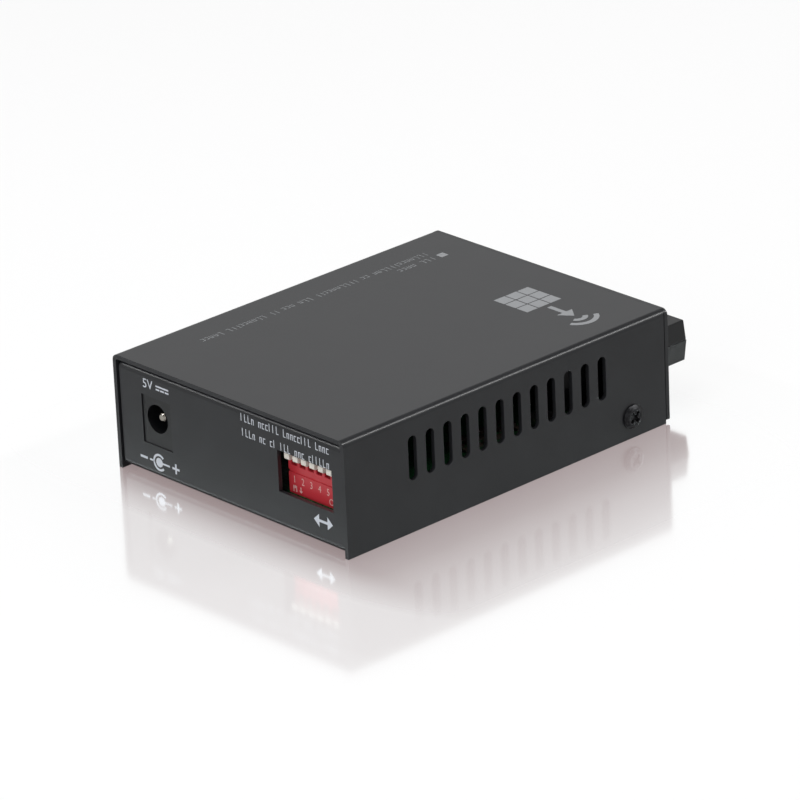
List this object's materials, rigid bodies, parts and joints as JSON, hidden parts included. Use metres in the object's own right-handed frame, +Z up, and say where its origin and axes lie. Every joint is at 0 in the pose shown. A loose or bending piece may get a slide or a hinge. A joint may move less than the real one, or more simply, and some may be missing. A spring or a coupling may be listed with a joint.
{
  "type": "fibre media converter",
  "caption": "Box-shaped fibre-to-copper media converter: folded steel case with vents, duplex fibre port, network jack, power jack and a rear switch bank.",
  "frame": {"origin": "middle of the footprint, on the surface that the cover's two lower edges stand on", "axes": "+Z up, the ports and lamps face -Y, the power jack and the switch face +Y, +X is to the right as the ports are looked at"},
  "size_m": [0.0732, 0.1058, 0.0261],
  "materials": {
    "black_powder_coat": "fine satin powder coat",
    "black_screw": "black oxide",
    "green_board": "solder mask",
    "zinc_steel": "zinc plated",
    "black_moulding": "fine moulded",
    "nickel": "bright nickel plate",
    "red_moulding": "moulded",
    "white_lever": "moulded",
    "tin": "bright tin plate",
    "steel_barrel": "turned",
    "grey_moulding": "moulded",
    "gold": "gold plate",
    "chip_epoxy": "moulded epoxy",
    "can_aluminium": "drawn can",
    "ceramic_chip": "sintered ceramic",
    "green_lens": "tinted lens"
  },
  "bodies": {
    "root": {"top_cover": "black_powder_coat", "chassis_tray": "black_powder_coat", "cover_screws": "black_screw", "circuit_board": "green_board", "board_standoffs": "zinc_steel", "board_screws": "zinc_steel", "dc_jack_housing": "black_moulding", "dc_jack_centre_pin": "nickel", "dc_jack_spring_contact": "nickel", "dip_switch_cover": "red_moulding", "dip_switch_base": "red_moulding", "dip_switch_pins": "tin", "transceiver_upper_shell": "black_moulding", "transceiver_lower_shell": "black_moulding", "transmit_optical_barrel": "steel_barrel", "receive_optical_barrel": "steel_barrel", "sc_latch_inserts": "grey_moulding", "transceiver_board": "green_board", "transceiver_pins": "tin", "rj45_housing": "black_moulding", "rj45_shield": "tin", "rj45_contacts": "gold", "led_holder": "black_moulding", "led_leads": "tin", "controller_chip": "chip_epoxy", "transformer_module": "chip_epoxy", "clock_crystal": "nickel", "voltage_regulator": "chip_epoxy", "power_inductor": "chip_epoxy", "chip_components": "ceramic_chip", "status_led_1": "green_lens", "status_led_2": "green_lens", "status_led_3": "green_lens", "status_led_4": "green_lens", "status_led_5": "green_lens", "status_led_6": "green_lens", "filter_capacitor_1": "can_aluminium", "filter_capacitor_2": "can_aluminium", "filter_capacitor_3": "can_aluminium"},
    "dip_lever_1": {"dip_lever_1": "white_lever"},
    "dip_lever_2": {"dip_lever_2": "white_lever"},
    "dip_lever_3": {"dip_lever_3": "white_lever"},
    "dip_lever_4": {"dip_lever_4": "white_lever"},
    "dip_lever_5": {"dip_lever_5": "white_lever"},
    "dip_lever_6": {"dip_lever_6": "white_lever"}
  },
  "joints": [
    {"name": "dip_lever_1_slide", "type": "slide", "parent": "root", "child": "dip_lever_1", "axis": [0, 0, -1], "range_m": [0, 0.0018]},
    {"name": "dip_lever_2_slide", "type": "slide", "parent": "root", "child": "dip_lever_2", "axis": [0, 0, -1], "range_m": [0, 0.0018]},
    {"name": "dip_lever_3_slide", "type": "slide", "parent": "root", "child": "dip_lever_3", "axis": [0, 0, -1], "range_m": [0, 0.0018]},
    {"name": "dip_lever_4_slide", "type": "slide", "parent": "root", "child": "dip_lever_4", "axis": [0, 0, -1], "range_m": [0, 0.0018]},
    {"name": "dip_lever_5_slide", "type": "slide", "parent": "root", "child": "dip_lever_5", "axis": [0, 0, -1], "range_m": [0, 0.0018]},
    {"name": "dip_lever_6_slide", "type": "slide", "parent": "root", "child": "dip_lever_6", "axis": [0, 0, -1], "range_m": [0, 0.0018]}
  ]
}
